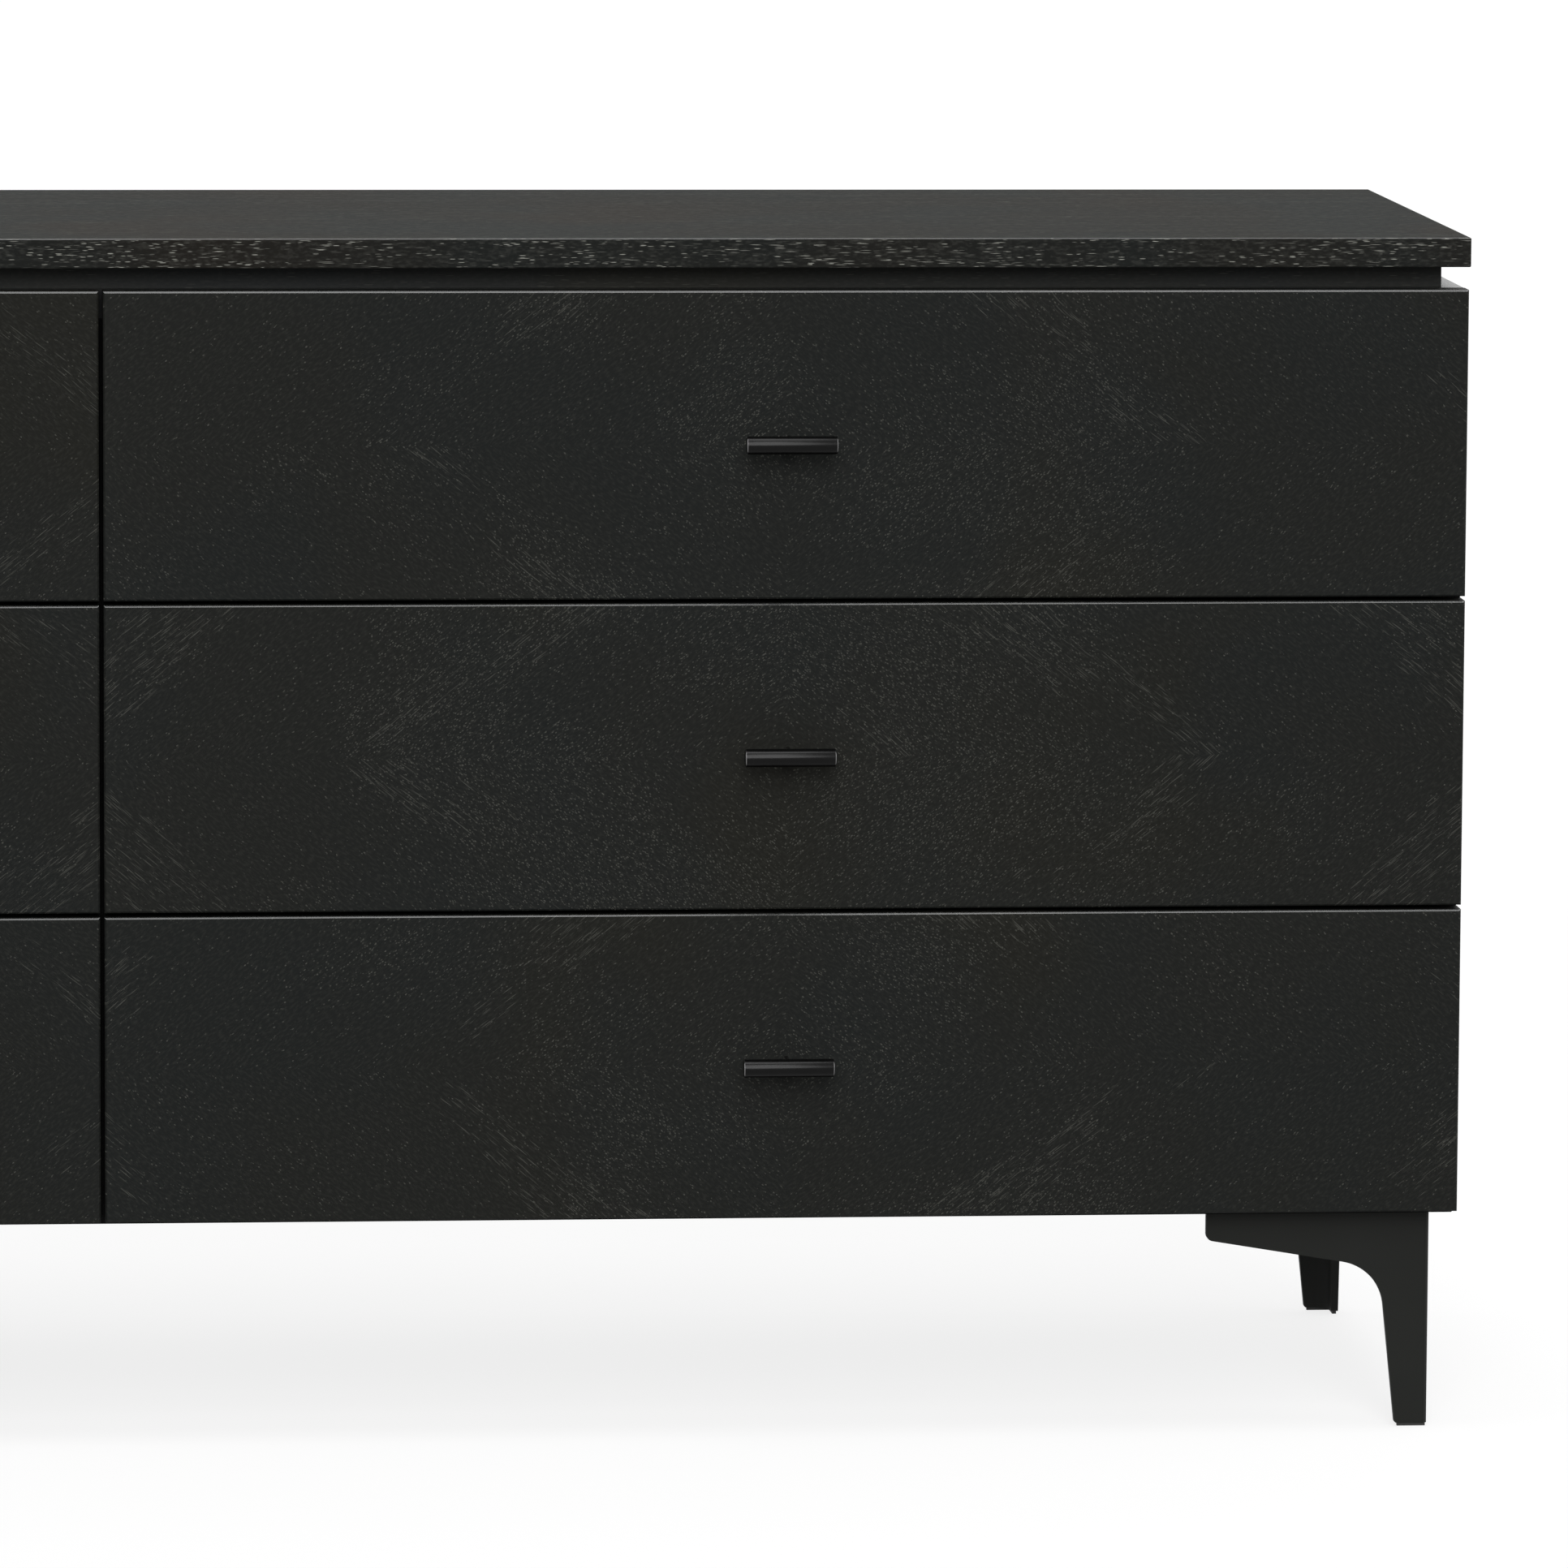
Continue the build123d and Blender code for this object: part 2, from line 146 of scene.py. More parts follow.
class NodeBench:
    """Wires the shader nodes of one material."""

    def __init__(self, name: str, specular: float, metallic: float = 0.0) -> None:
        """Start a material with one surface shader.

        Args:
            name: Name of the material.
            specular: Specular level of the whole surface.
            metallic: 1 for bare metal.
        """
        self.material = bpy.data.materials.new(name)
        self.material.use_nodes = True
        self.tree = self.material.node_tree
        self.tree.nodes.clear()
        self.shader = self.tree.nodes.new("ShaderNodeBsdfPrincipled")
        self.shader.inputs["Specular IOR Level"].default_value = specular
        self.shader.inputs["Metallic"].default_value = metallic
        output = self.tree.nodes.new("ShaderNodeOutputMaterial")
        self.tree.links.new(self.shader.outputs["BSDF"], output.inputs["Surface"])
        place = self.tree.nodes.new("ShaderNodeTexCoord")
        self.place = place.outputs["Object"]
        self.normal = place.outputs["Normal"]

    def feed(self, socket: Socket, value: Value) -> None:
        """Link a socket to an input, or set the input's own value.

        Args:
            socket: Input to feed.
            value: A socket or a plain value.
        """
        if isinstance(value, bpy.types.NodeSocket):
            self.tree.links.new(value, socket)
        else:
            socket.default_value = value

    def sum(self, operation: str, a: Value, b: Value = 0.0, clamp: bool = False) -> Socket:
        """Add a math node.

        Args:
            operation: Blender's name of the operation.
            a: First value.
            b: Second value.
            clamp: Whether the result stays from 0 to 1.

        Returns:
            The node's result.
        """
        node = self.tree.nodes.new("ShaderNodeMath")
        node.operation = operation
        node.use_clamp = clamp
        self.feed(node.inputs[0], a)
        self.feed(node.inputs[1], b)
        return node.outputs[0]

    def times(self, a: Value, b: Value) -> Socket:
        """Multiply two values."""
        return self.sum("MULTIPLY", a, b)

    def split(self, vector: Value) -> list[Socket]:
        """Take a vector apart.

        Args:
            vector: Vector to take apart.

        Returns:
            Its three parts.
        """
        node = self.tree.nodes.new("ShaderNodeSeparateXYZ")
        self.feed(node.inputs[0], vector)
        return list(node.outputs)

    def join(self, x: Value, y: Value, z: Value) -> Socket:
        """Put a vector together.

        Args:
            x: First part.
            y: Second part.
            z: Third part.

        Returns:
            The vector.
        """
        node = self.tree.nodes.new("ShaderNodeCombineXYZ")
        for socket, part in zip(node.inputs, (x, y, z)):
            self.feed(socket, part)
        return node.outputs[0]

    def scaled(self, vector: Value, scale: Sequence[float], shift: Sequence[float] = (0, 0, 0)) -> Socket:
        """Stretch a vector and shift the result.

        Args:
            vector: Coordinates to stretch.
            scale: Factor of each part.
            shift: Amount added to each part after that.

        Returns:
            The stretched coordinates.
        """
        node = self.tree.nodes.new("ShaderNodeVectorMath")
        node.operation = "MULTIPLY_ADD"
        self.feed(node.inputs[0], vector)
        node.inputs[1].default_value = scale
        node.inputs[2].default_value = shift
        return node.outputs[0]

    def noise(self, vector: Value, detail: float = 1.0, bend: float = 0.0) -> Socket:
        """Add a cloudy noise that reads coordinates as they come.

        Args:
            vector: Coordinates, one noise cell for each unit.
            detail: Number of finer layers.
            bend: How far the clouds are twisted.

        Returns:
            The noise from 0 to 1.
        """
        node = self.tree.nodes.new("ShaderNodeTexNoise")
        self.feed(node.inputs["Vector"], vector)
        node.inputs["Scale"].default_value = 1.0
        node.inputs["Detail"].default_value = detail
        node.inputs["Distortion"].default_value = bend
        return node.outputs[0]

    def cells(self, vector: Value) -> tuple[Socket, list[Socket]]:
        """Scatter one point in each cell of the coordinates.

        Args:
            vector: Coordinates, one point for each unit.

        Returns:
            Distance to the nearest point, and three random values of that point.
        """
        node = self.tree.nodes.new("ShaderNodeTexVoronoi")
        self.feed(node.inputs["Vector"], vector)
        node.inputs["Scale"].default_value = 1.0
        return node.outputs["Distance"], self.split(node.outputs["Color"])

    def ramp(self, value: Value, low: float, high: float, start: float = 0.0, end: float = 1.0) -> Socket:
        """Turn one span of values into another, softly and with fixed ends.

        Args:
            value: Value to turn.
            low: Value that becomes start.
            high: Value that becomes end.
            start: Result at low.
            end: Result at high.

        Returns:
            The turned value.
        """
        node = self.tree.nodes.new("ShaderNodeMapRange")
        node.interpolation_type = "SMOOTHSTEP"
        for socket, part in zip(node.inputs, (value, low, high, start, end)):
            self.feed(socket, part)
        return node.outputs[0]

    def blend(self, share: Value, a: Value, b: Value, kind: Mix = Mix.COLOUR) -> Socket:
        """Blend two colours, or two vectors.

        Args:
            share: Share of the second one.
            a: First colour or vector.
            b: Second colour or vector.
            kind: What the two are.

        Returns:
            The blended colour or vector.
        """
        data_type, first, result = kind.value
        node = self.tree.nodes.new("ShaderNodeMix")
        node.data_type = data_type
        self.feed(node.inputs[0], share)
        self.feed(node.inputs[first], a)
        self.feed(node.inputs[first + 1], b)
        return node.outputs[result]

    def facing(self, axis: int, least: float = 0.7) -> Socket:
        """Tell where the surface faces one axis, either way.

        Args:
            axis: 0, 1 or 2 for X, Y or Z.
            least: Smallest part of the normal that counts.

        Returns:
            1 where it does, and 0 elsewhere.
        """
        return self.sum("GREATER_THAN", self.sum("ABSOLUTE", self.split(self.normal)[axis]), least)

    def eased(self) -> Socket:
        """Tell where the surface is an eased edge, square to none of the axes.

        Returns:
            1 on eased and rounded edges, and 0 on flat faces.
        """
        x, y, z = [self.sum("ABSOLUTE", part) for part in self.split(self.normal)]
        widest = self.sum("MAXIMUM", self.sum("MAXIMUM", x, y), z)
        return self.ramp(widest, FLAT_NORMAL, EASED_NORMAL)

    def polish(self, weight: Value, roughness: float) -> None:
        """Lay a clear coat over part of the surface.

        Args:
            weight: Where the coat lies, from 0 to 1.
            roughness: Roughness of the coat.
        """
        self.feed(self.shader.inputs["Coat Weight"], weight)
        self.shader.inputs["Coat Roughness"].default_value = roughness

    def dress(self, colour: Value, roughness: Value, height: Value, depth: float) -> bpy.types.Material:
        """Finish the material.

        Args:
            colour: Surface colour.
            roughness: Surface roughness.
            height: Relief from 0 to 1.
            depth: Depth of the relief in metres.

        Returns:
            The finished material.
        """
        bump = self.tree.nodes.new("ShaderNodeBump")
        bump.inputs["Strength"].default_value = RELIEF_STRENGTH
        bump.inputs["Distance"].default_value = depth
        self.feed(bump.inputs["Height"], height)
        self.feed(self.shader.inputs["Base Color"], colour)
        self.feed(self.shader.inputs["Roughness"], roughness)
        self.tree.links.new(bump.outputs[0], self.shader.inputs["Normal"])
        return self.material


@dataclass(frozen=True)
class Finish(ABC):
    """A finish that knows how to build its own material."""

    name: str

    @abstractmethod
    def material(self) -> bpy.types.Material:
        """Build the material."""


@dataclass(frozen=True)
class Pores:
    """One kind of pore: its pitch along and across the fibres, and how many are open.

    The pitch counts cells for each metre, and the share runs from the barest to the fullest place.
    Every row of cells is shifted by its own step, so that pores don't line up across the fibres.
    """

    along: float
    across: float
    share: Span
    reach: Span = (0.24, 0.44)
    start: Span = (3.3, 7.3)
    row_pitch: float = 0.37
    stagger: float = 12.0
    open_edge: float = 12.0
    dash_edge: float = 7.0
    faintest: float = 0.3

    def draw(self, bench: NodeBench, fibres: Socket, crowd: Socket, seed: float) -> Socket:
        """Draw the open pores as short dashes along the fibres.

        Args:
            bench: Bench of the material.
            fibres: Coordinates along the fibres.
            crowd: Where pores crowd, from 0 to 1.
            seed: Number that shuffles the pores.

        Returns:
            Strength of the pores from 0 to 1.
        """
        pitch = (self.along, self.across, self.across)
        along, across, deep = bench.split(bench.scaled(fibres, pitch, (seed, *self.start)))
        row = bench.join(0.0, bench.sum("FLOOR", across), bench.sum("FLOOR", deep))
        step = bench.noise(bench.scaled(row, (0, self.row_pitch, self.row_pitch)))
        staggered = bench.sum("ADD", along, bench.times(step, self.stagger))
        far, (luck, size, shine) = bench.cells(bench.join(staggered, across, deep))
        least = bench.ramp(crowd, 0.0, 1.0, 1.0 - self.share[0], 1.0 - self.share[1])
        is_open = bench.sum("MULTIPLY", bench.sum("SUBTRACT", luck, least), self.open_edge, clamp=True)
        reach = bench.ramp(size, 0.0, 1.0, *self.reach)
        dash = bench.sum("MULTIPLY", bench.sum("SUBTRACT", reach, far), self.dash_edge, clamp=True)
        return bench.times(bench.times(dash, is_open), bench.ramp(shine, 0.0, 1.0, self.faintest, 1.0))


@dataclass(frozen=True)
class OpenPoreOak(Finish):
    """Oak veneer stained black, with pale ticks and dashes where open pores catch the light.

    The limits say where pores crowd, each with how far plenty lowers it.
    """

    grain: Grain = Grain.ALONG_X
    ground: Tone = (19, 20, 18)
    cool: Tone = (18, 20, 19)
    warm: Tone = (20, 20, 16)
    fleck: Tone = (120, 120, 113)
    ticks: Pores = Pores(440, 740, (0.15, 0.9))
    dashes: Pores = Pores(60, 960, (0.0, 0.85))
    dash_share: float = 0.8
    plenty: float = 0.5
    boldness: float = 0.48
    edge_boldness: float = 0.48
    gloss: float = 0.088
    dull: float = 0.62
    seed: float = 0.0
    lacquered_top: bool = False
    lacquer_dull: float = 0.22
    tick_limits: tuple[Span, Span] = ((0.52, 0.3), (0.96, 0.3))
    dash_limits: tuple[Span, Span] = ((0.64, 0.2), (0.84, 0.3))
    dash_seed: float = 5.5
    patch_pitch: Triple = (7, 22, 22)
    group_pitch: Triple = (9, 60, 60)
    ring_pitch: Triple = (1.6, 75, 75)
    cool_pitch: float = 5.0
    warm_pitch: float = 4.0
    mottle_pitch: Triple = (260, 620, 620)
    mottle_share: float = 0.045
    fibre_pitch: Triple = (120, 2200, 2200)
    fibre_relief: float = 0.35
    pore_dull: float = 0.12
    relief: float = 0.00015

    def fibres(self, bench: NodeBench) -> Socket:
        """Lay coordinates along and across the fibres.

        Args:
            bench: Bench of the material.

        Returns:
            Coordinates with the fibres along their first part.
        """
        along, across, deep = self.grain.value
        parts = bench.split(bench.place)
        lengthwise = bench.join(parts[along], parts[across], parts[deep])
        banded = bench.join(parts[across], parts[deep], parts[along])
        return bench.blend(bench.facing(along), lengthwise, banded, Mix.VECTOR)

    def crowding(self, bench: NodeBench, fibres: Socket) -> tuple[Socket, Socket]:
        """Crowd the pores in long bands on broad faces, and in patches on narrow front edges.

        Args:
            bench: Bench of the material.
            fibres: Coordinates along the fibres.

        Returns:
            Cloud of the ticks and cloud of the dashes.
        """
        patch = bench.noise(bench.scaled(fibres, self.patch_pitch, (self.seed, 0, 5)), detail=2.0)
        group = bench.noise(bench.scaled(fibres, self.group_pitch, (self.seed, 0, 0)), detail=2.0)
        rings = bench.noise(bench.scaled(fibres, self.ring_pitch, (0, self.seed, 5)), detail=3.0)
        narrow = bench.facing(Y_AXIS)
        tick_cloud = bench.ramp(narrow, 0.0, 1.0, rings, patch)
        dash_cloud = bench.ramp(narrow, 0.0, 1.0, rings, group)
        return tick_cloud, dash_cloud

    def pores(self, bench: NodeBench, fibres: Socket) -> Socket:
        """Draw the pores: short ticks everywhere, and dashes in groups.

        Args:
            bench: Bench of the material.
            fibres: Coordinates along the fibres.

        Returns:
            Strength of the pores from 0 to 1.
        """
        patch, group = self.crowding(bench, fibres)
        crowd = bench.ramp(patch, *[limit - fall * self.plenty for limit, fall in self.tick_limits])
        cluster = bench.ramp(group, *[limit - fall * self.plenty for limit, fall in self.dash_limits])
        tick = self.ticks.draw(bench, fibres, crowd, self.seed)
        dash = self.dashes.draw(bench, fibres, cluster, self.seed + self.dash_seed)
        return bench.sum("MAXIMUM", tick, bench.times(dash, self.dash_share))

    def stain(self, bench: NodeBench, fibres: Socket) -> Socket:
        """Cloud the black stain with a little green and brown, and mottle it finely.

        Args:
            bench: Bench of the material.
            fibres: Coordinates along the fibres.

        Returns:
            Colour of the stained wood between the pores.
        """
        cool_place = bench.scaled(bench.place, (self.cool_pitch,) * 3, (self.seed, 0, 2))
        warm_place = bench.scaled(bench.place, (self.warm_pitch,) * 3, (0, self.seed, 9))
        cold = bench.noise(cool_place, detail=2.0)
        brown = bench.noise(warm_place, detail=2.0)
        mottle = bench.noise(bench.scaled(fibres, self.mottle_pitch))
        colour = bench.blend(bench.ramp(cold, 0.4, 0.62), linear(self.ground), linear(self.cool))
        colour = bench.blend(bench.ramp(brown, 0.5, 0.7), colour, linear(self.warm))
        speckle = bench.ramp(mottle, 0.4, 0.8, 0.0, self.mottle_share)
        return bench.blend(speckle, colour, linear(self.fleck))

    def polished_edges(self, bench: NodeBench) -> Socket:
        """Tell where lacquer shines: on eased edges that look up, and on a lacquered top.

        Args:
            bench: Bench of the material.

        Returns:
            Share of the shine from 0 to 1.
        """
        across, _, up = bench.split(bench.normal)
        sideways = bench.sum("ABSOLUTE", across)
        upward = bench.times(bench.ramp(up, 0.0, 0.6), bench.ramp(sideways, 0.5, 0.2))
        shine = bench.times(bench.eased(), upward)
        if not self.lacquered_top:
            return shine
        return bench.sum("MAXIMUM", shine, bench.ramp(up, EASED_NORMAL, FLAT_NORMAL, 0.0, 0.5))

    def material(self) -> bpy.types.Material:
        """Build the veneer.

        Returns:
            The finished material.
        """
        bench = NodeBench(self.name, self.gloss)
        fibres = self.fibres(bench)
        pores = self.pores(bench, fibres)
        bold = bench.ramp(bench.facing(Y_AXIS), 0.0, 1.0, self.boldness, self.edge_boldness)
        colour = bench.blend(bench.times(pores, bold), self.stain(bench, fibres), linear(self.fleck))
        rough = bench.ramp(pores, 0.0, 1.0, self.dull, min(self.dull + self.pore_dull, 1.0))
        bench.polish(self.polished_edges(bench), self.lacquer_dull)
        fine = bench.noise(bench.scaled(fibres, self.fibre_pitch))
        height = bench.sum("SUBTRACT", bench.times(fine, self.fibre_relief), pores)
        return bench.dress(colour, rough, height, self.relief)


@dataclass(frozen=True)
class DiamondVeneer(OpenPoreOak):
    """Four leaves of oak veneer matched round the middle of a drawer front, fibres in diamonds."""

    middle: Triple = (0.0, 0.0, 0.0)
    slope: float = math.radians(39)
    patch_pitch: Triple = (6, 0, 9)
    group_pitch: Triple = (6, 15, 1)
    wander_pitch: Triple = (9, 14, 1)
    wander: float = 0.012
    leaf_change: float = 0.12
    figure_pitch: float = 0.16
    figure_core: float = 0.01
    figure_half: float = 0.042
    figure_bias: float = 0.12
    bare_middle: Span = (0.06, 0.13)
    crowded_middle: Span = (0.08, 0.42)
    crowded_bias: float = 0.1

    def from_middle(self, bench: NodeBench) -> list[Socket]:
        """Measure places from the middle of the front."""
        return bench.split(bench.scaled(bench.place, (1, 1, 1), [-part for part in self.middle]))

    def leaves(self, bench: NodeBench) -> tuple[Socket, Socket, Socket]:
        """Fold the face about its middle.

        Args:
            bench: Bench of the material.

        Returns:
            Place along the fibres, place across them, and a number for each leaf.
        """
        x, _, z = self.from_middle(bench)
        out = bench.sum("ABSOLUTE", x)
        up = bench.sum("ABSOLUTE", z)
        run = math.cos(self.slope)
        rise = math.sin(self.slope)
        along = bench.sum("SUBTRACT", bench.times(out, run), bench.times(up, rise))
        across = bench.sum("ADD", bench.times(out, rise), bench.times(up, run))
        upper = bench.times(bench.sum("GREATER_THAN", z, 0.0), 2.0)
        leaf = bench.sum("ADD", bench.sum("GREATER_THAN", x, 0.0), upper)
        return along, across, leaf

    def fibres(self, bench: NodeBench) -> Socket:
        """Lay coordinates along the diamonds on the face, and along the edges of the front.

        Args:
            bench: Bench of the material.

        Returns:
            Coordinates with the fibres along their first part.
        """
        along, across, leaf = self.leaves(bench)
        wander = bench.noise(bench.scaled(bench.join(along, across, leaf), self.wander_pitch))
        bent = bench.sum("ADD", across, bench.times(wander, self.wander))
        x, y, z = bench.split(bench.place)
        band = bench.join(bench.sum("ADD", x, z), y, 0.0)
        return bench.blend(bench.facing(Y_AXIS), band, bench.join(along, bent, leaf), Mix.VECTOR)

    def crowding(self, bench: NodeBench, fibres: Socket) -> tuple[Socket, Socket]:
        """Crowd the dashes in streaks that match in all four leaves, and the ticks in loose patches.

        Args:
            bench: Bench of the material.
            fibres: Coordinates along the fibres.

        Returns:
            Cloud of the ticks and cloud of the dashes.
        """
        along, across, leaf = self.leaves(bench)
        folded = bench.join(along, across, bench.times(leaf, self.leaf_change))
        group = bench.noise(bench.scaled(folded, self.group_pitch, (self.seed, self.seed, 0)), detail=3.0)
        beside = bench.sum("PINGPONG", across, self.figure_pitch / 2)
        streak = bench.ramp(beside, self.figure_core, self.figure_half, self.figure_bias, -self.figure_bias)
        outside = bench.ramp(across, *self.bare_middle, -self.figure_bias, self.figure_bias)
        dash_cloud = bench.sum("ADD", group, bench.sum("MINIMUM", streak, outside))
        patch = bench.noise(bench.scaled(bench.place, self.patch_pitch, (self.seed, 0, 5)), detail=3.0)
        x, _, _ = self.from_middle(bench)
        out = bench.sum("ABSOLUTE", x)
        inward = bench.ramp(out, *self.crowded_middle, self.crowded_bias, -self.crowded_bias)
        return bench.sum("ADD", patch, inward), dash_cloud


@dataclass(frozen=True)
class PaintedBoard(Finish):
    """Black paint with the faint orange peel of spraying.

    The darker edge tone and its share paint shade on faces that look along Y, mostly front edges seen in
    the gaps, and take their gloss away.
    """

    tone: Tone = (24, 24, 24)
    pale: Tone = (30, 30, 30)
    # Painted highlight: the edge tone lightens eased and rounded edges, as the light they catch would.
    edge: Tone = (48, 48, 47)
    gloss: float = 0.2
    dull: float = 0.5
    peel: float = 700.0
    # Painted shade: the darker edge tone for faces that look along Y, such as front edges in the gaps.
    edge_shade_tone: Tone = (24, 24, 24)
    edge_shade_share: float = 0.0
    edge_highlight_share: float = 0.3
    cloud_pitch: float = 11.0
    dull_change: Span = (-0.015, 0.02)
    relief: float = 0.00008

    def material(self) -> bpy.types.Material:
        """Build the paint.

        Returns:
            The finished material.
        """
        bench = NodeBench(self.name, self.gloss)
        cloud = bench.noise(bench.scaled(bench.place, (self.cloud_pitch,) * 3), detail=3.0)
        peel = bench.noise(bench.scaled(bench.place, (self.peel,) * 3))
        colour = bench.blend(bench.ramp(cloud, 0.3, 0.7), linear(self.tone), linear(self.pale))
        # Painted highlight: eased edges are blended toward the lighter edge tone.
        colour = bench.blend(bench.times(bench.eased(), self.edge_highlight_share), colour, linear(self.edge))
        rough = bench.ramp(cloud, 0.3, 0.7, *[self.dull + change for change in self.dull_change])
        # Painted shade: faces that look along Y get the darker edge tone and lose their gloss.
        if self.edge_shade_share > 0:
            edge = bench.times(bench.facing(Y_AXIS), self.edge_shade_share)
            colour = bench.blend(edge, colour, linear(self.edge_shade_tone))
            rough = bench.sum("MAXIMUM", rough, edge)
        return bench.dress(colour, rough, peel, self.relief)


@dataclass(frozen=True)
class DrawerWood(Finish):
    """Pale solid wood under clear lacquer, with end grain where the fibres meet the surface."""

    grain: Grain
    pale: Tone = (214, 188, 148)
    late: Tone = (192, 160, 117)
    end: Tone = (166, 133, 93)
    dot: Tone = (128, 98, 64)
    gloss: float = 0.4
    flame_pitch: Triple = (2.2, 26, 26)
    flame_bend: float = 0.6
    ring_count: float = 46.0
    vessel_pitch: Triple = (38, 1500, 1500)
    tint_pitch: Triple = (1.4, 7, 7)
    dot_pitch: float = 900.0
    relief: float = 0.00006

    def material(self) -> bpy.types.Material:
        """Build the wood.

        Returns:
            The finished material.
        """
        along, across, deep = self.grain.value
        bench = NodeBench(self.name, self.gloss)
        parts = bench.split(bench.place)
        fibres = bench.join(parts[along], parts[across], parts[deep])
        flame = bench.noise(bench.scaled(fibres, self.flame_pitch), detail=3.0, bend=self.flame_bend)
        rings = bench.sum("SINE", bench.times(flame, self.ring_count))
        vessel = bench.noise(bench.scaled(fibres, self.vessel_pitch))
        tint = bench.noise(bench.scaled(fibres, self.tint_pitch))
        ring_share = bench.ramp(rings, -1.0, 1.0, 0.0, 0.5)
        tint_share = bench.ramp(tint, 0.35, 0.65, 0.0, 0.4)
        share = bench.sum("ADD", ring_share, tint_share)
        colour = bench.blend(share, linear(self.pale), linear(self.late))
        colour = bench.blend(bench.ramp(vessel, 0.56, 0.72, 0.0, 0.45), colour, linear(self.end))
        dots, _ = bench.cells(bench.scaled(bench.place, (self.dot_pitch,) * 3))
        cut = bench.blend(bench.ramp(dots, 0.2, 0.5), linear(self.dot), linear(self.end))
        colour = bench.blend(bench.facing(along), colour, cut)
        rough = bench.ramp(vessel, 0.4, 0.7, 0.38, 0.5)
        return bench.dress(colour, rough, vessel, self.relief)


@dataclass(frozen=True)
class PlatedSteel(Finish):
    """Zinc-plated steel with drawing lines and a faint yellow bloom."""

    tone: Tone = (188, 190, 192)
    bloom: Tone = (172, 172, 160)
    lines: Triple = (1800, 30, 1800)
    gloss: float = 0.5
    bloom_pitch: Triple = (40, 18, 40)
    relief: float = 0.00003

    def material(self) -> bpy.types.Material:
        """Build the plating.

        Returns:
            The finished material.
        """
        bench = NodeBench(self.name, self.gloss, metallic=1.0)
        cloud = bench.noise(bench.scaled(bench.place, self.bloom_pitch), detail=3.0)
        drawn = bench.noise(bench.scaled(bench.place, self.lines))
        colour = bench.blend(bench.ramp(cloud, 0.35, 0.65), linear(self.tone), linear(self.bloom))
        brushed = bench.ramp(drawn, 0.3, 0.7, 0.22, 0.36)
        rough = bench.sum("ADD", brushed, bench.ramp(cloud, 0.4, 0.7, 0.0, 0.1))
        return bench.dress(colour, rough, drawn, self.relief)


@dataclass(frozen=True)
class SatinBlackMetal(Finish):
    """Turned metal in satin black, with fine turning lines round the bar and bright rims."""

    tone: Tone = (3, 3, 3)
    pale: Tone = (5, 5, 5)
    turning: Tone = (18, 18, 17)
    gloss: float = 0.125
    turning_pitch: Triple = (4200, 60, 60)
    cloud_pitch: float = 90.0
    rim_dull: float = 0.2
    rim_index: float = 2.4
    relief: float = 0.00002

    def material(self) -> bpy.types.Material:
        """Build the finish.

        Returns:
            The finished material.
        """
        bench = NodeBench(self.name, self.gloss)
        turned = bench.noise(bench.scaled(bench.place, self.turning_pitch))
        cloud = bench.noise(bench.scaled(bench.place, (self.cloud_pitch,) * 3), detail=2.0)
        colour = bench.blend(bench.ramp(cloud, 0.3, 0.7), linear(self.tone), linear(self.pale))
        colour = bench.blend(bench.ramp(turned, 0.45, 0.75, 0.0, 0.25), colour, linear(self.turning))
        rough = bench.ramp(turned, 0.3, 0.7, 0.2, 0.26)
        across, _, _ = bench.split(bench.normal)
        endways = bench.sum("ABSOLUTE", across)
        rim = bench.times(bench.ramp(endways, 0.15, 0.35), bench.ramp(endways, 0.99, 0.93))
        bench.polish(rim, self.rim_dull)
        bench.shader.inputs["Coat IOR"].default_value = self.rim_index
        return bench.dress(colour, rough, turned, self.relief)


OAK_TOP = OpenPoreOak(
    "black_oak_top", ground=(31, 31, 29), cool=(30, 32, 31), warm=(33, 31, 28), fleck=(165, 165, 157),
    ticks=Pores(150, 1350, (0.15, 0.45)), dashes=Pores(64, 1400, (0.12, 0.65)), dash_share=1.0,
    plenty=0.6, boldness=0.3, edge_boldness=1.0, gloss=0.026, dull=0.8)
# Painted light: the neck, in the shade of the top's overhang, gets a lighter copy of the black oak, about
# twice the tone of the fronts.
OAK_NECK_LIGHTENED = OpenPoreOak(
    "black_oak_neck", ground=(41, 42, 40), cool=(40, 42, 42), warm=(42, 42, 38),
    ticks=Pores(110, 1300, (0.1, 0.5)), dashes=Pores(70, 1200, (0.05, 0.6)),
    boldness=0.35, edge_boldness=0.35, gloss=0.15, seed=4.0)
OAK_SIDE = OpenPoreOak("black_oak_upright", Grain.ALONG_Z, lacquered_top=True)
# Painted shade: the case top's edges that look along Y, the one deep under the neck among them, are painted
# nearly black.
LACQUER = PaintedBoard(
    "black_lacquer", tone=(32, 31, 30), pale=(36, 35, 34), gloss=0.6, dull=0.17,
    edge_shade_tone=(6, 6, 6), edge_shade_share=1.0)
# Painted shade: the partition and divider rails, seen only through the gaps between the fronts, get a
# darker copy of the board paint.
GAP_SHADE_BOARD = PaintedBoard(
    "black_rail_paint", tone=(9, 9, 9), pale=(12, 12, 12), edge=(14, 14, 14), gloss=0.05, dull=0.75)
BOARD = PaintedBoard("black_board_paint")
